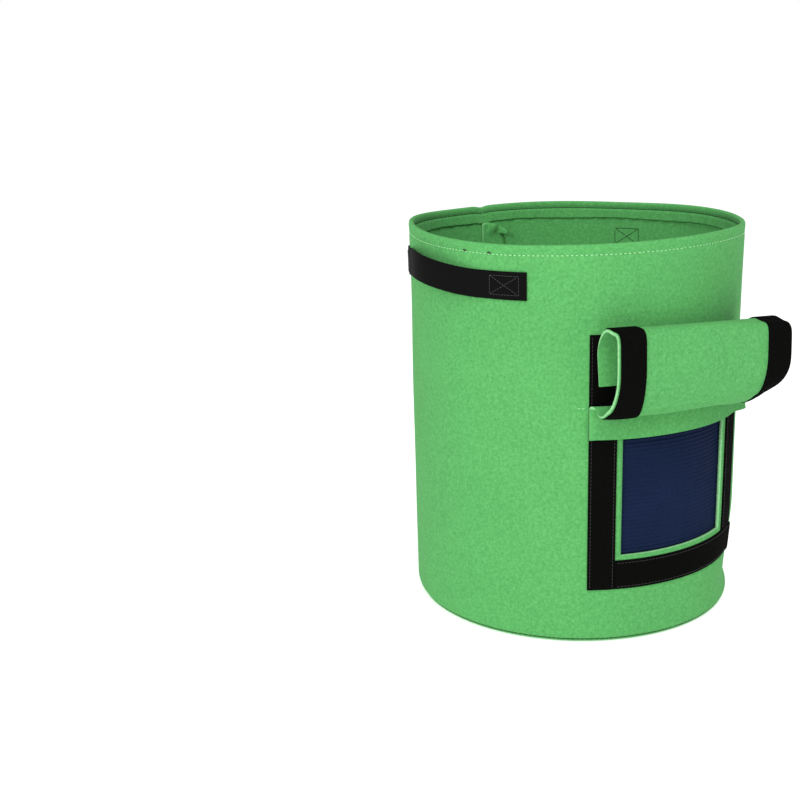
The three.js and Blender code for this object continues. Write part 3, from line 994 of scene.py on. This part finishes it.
# ---------------------------------------------------------------- sewing
def sewing():
    line = BAG_HEIGHT - RIM_STITCH_DROP
    outside = bag_stitches("rim_stitches", round_the_bag(line, -0.5 * MM), PALE_THREAD,
                           3.9 * MM, 2.6 * MM, 0.40 * MM, 0.30 * MM, 0.15 * MM)
    belongs(outside, "bag", "thread")
    # Short dark dots between the rim's stitches: painted shade in the needle holes.
    hole_shade_dots = bag_stitches("rim_hole_shade_row", round_the_bag(line, -0.55 * MM, 0.0205), HOLE_SHADE,
                         3.9 * MM, 0.9 * MM, 0.34 * MM, 0.1 * MM, 0.15 * MM)
    belongs(hole_shade_dots, "bag", "thread")
    # Two loose stitches above the rim's stitch line, drawn in the same dark hole-shade colour.
    loose = bag_stitches("rim_loose_stitches", [((a, a + 0.03), (line + 1.5 * MM, line + 0.8 * MM), 0.1 * MM)
                                                for a in (-1.33, -1.16)],
                         HOLE_SHADE, 4 * MM, 3.2 * MM, 0.7 * MM, 0.5 * MM)
    belongs(loose, "bag", "thread")
    under = BAG_HEIGHT - HEM_STITCH_DROP
    inside = bag_stitches("hem_stitches", round_the_bag(under, -2 * RIM_FOLD + 0.55 * MM), DARK_THREAD,
                          3.0 * MM, 2.9 * MM, 0.45 * MM, 0.1 * MM, inside=True)
    belongs(inside, "bag", "thread")
    # Stitches in the base seam's groove, in dark green thread: real stitches whose dark line is painted shade
    # for the groove.
    groove = BASE_ROUNDING * (1 - math.cos(SEAM_TURN))
    depth = (BASE_ROUNDING - 0.7 * MM) * math.sin(SEAM_TURN) - BASE_ROUNDING
    groove_shade = bag_stitches("base_seam_shade_stitches", round_the_bag(groove, depth), DARK_THREAD,
                        4.2 * MM, 3.9 * MM, 0.42 * MM, 0.1 * MM)
    belongs(groove_shade, "bag", "thread")
    out = TAPE_LIFT + TAPE_THICK - 0.1 * MM
    margin = 2.2 * MM / BAG_RADIUS
    runs = []
    for start, end, low, high in (
        (-FRAME_ANGLE, -FRAME_ANGLE + TAPE_ANGLE, LOOP_LOW.z, LOOP_HIGH.z),
        (FRAME_ANGLE - TAPE_ANGLE, FRAME_ANGLE, RIGHT_LOW.z, RIGHT_HIGH.z),
    ):
        for angle in (start + margin, end - margin):
            runs.append(((angle, angle), (low + 2 * MM, high - 2 * MM), out))
    for height in (BOTTOM_LOW.z + 2.2 * MM, BOTTOM_HIGH.z - 2.2 * MM):
        runs.append(((-FRAME_ANGLE + TAPE_ANGLE + margin, OVERRUN_ANGLE - margin), (height, height), out))
    tapes = bag_stitches("tape_stitches", runs, BLACK_THREAD, 3.2 * MM, 2.3 * MM, 0.28 * MM, 0.2 * MM)
    belongs(tapes, "bag", "thread")
    seam = bag_stitches("flap_seam_stitches", [
        ((-FRAME_ANGLE - 9 * MM / BAG_RADIUS, -FRAME_ANGLE - 0.5 * MM / BAG_RADIUS),
         (SEAM_HEIGHT, SEAM_HEIGHT - 0.5 * MM), 0.0)],
        PALE_THREAD, 3.2 * MM, 2.3 * MM, 0.4 * MM, 0.3 * MM)
    belongs(seam, "bag", "thread")


aim_camera()
studio()
felt_wall()
rim_hem()
base()
side_seam()
window_panel()
loop_tapes()
flap()
handle("left", -math.pi / 2)
handle("right", math.pi / 2)
sewing()
